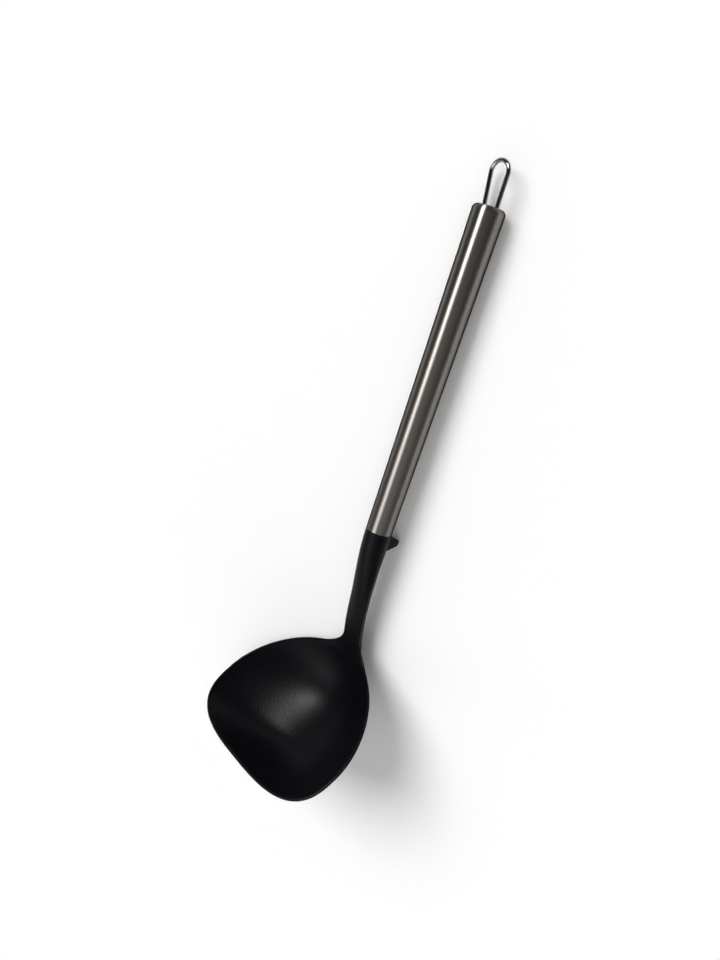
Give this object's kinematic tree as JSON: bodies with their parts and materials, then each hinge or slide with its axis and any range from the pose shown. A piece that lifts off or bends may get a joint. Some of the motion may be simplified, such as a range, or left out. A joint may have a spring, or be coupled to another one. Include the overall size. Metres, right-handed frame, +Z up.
{
  "type": "soup ladle",
  "caption": "Soup ladle with a black moulded bowl and neck, a rest fin, a tapered steel tube handle and a bent wire hanging loop.",
  "frame": {"origin": "middle of the bottom of the box of the lying ladle, on the surface that it lies on", "axes": "+X along the handle towards the hanging loop, +Z up; the ladle lies on the back of its bowl, the rest fin and the end of the tube, rolled towards +Y"},
  "size_m": [0.3148, 0.0926, 0.074],
  "materials": {
    "black_nylon": "satin moulded",
    "brushed_tube": "brushed round the tube",
    "bright_wire": "polished"
  },
  "bodies": {
    "root": {"head": "black_nylon", "handle_tube": "brushed_tube", "hanging_loop": "bright_wire"}
  },
  "joints": []
}
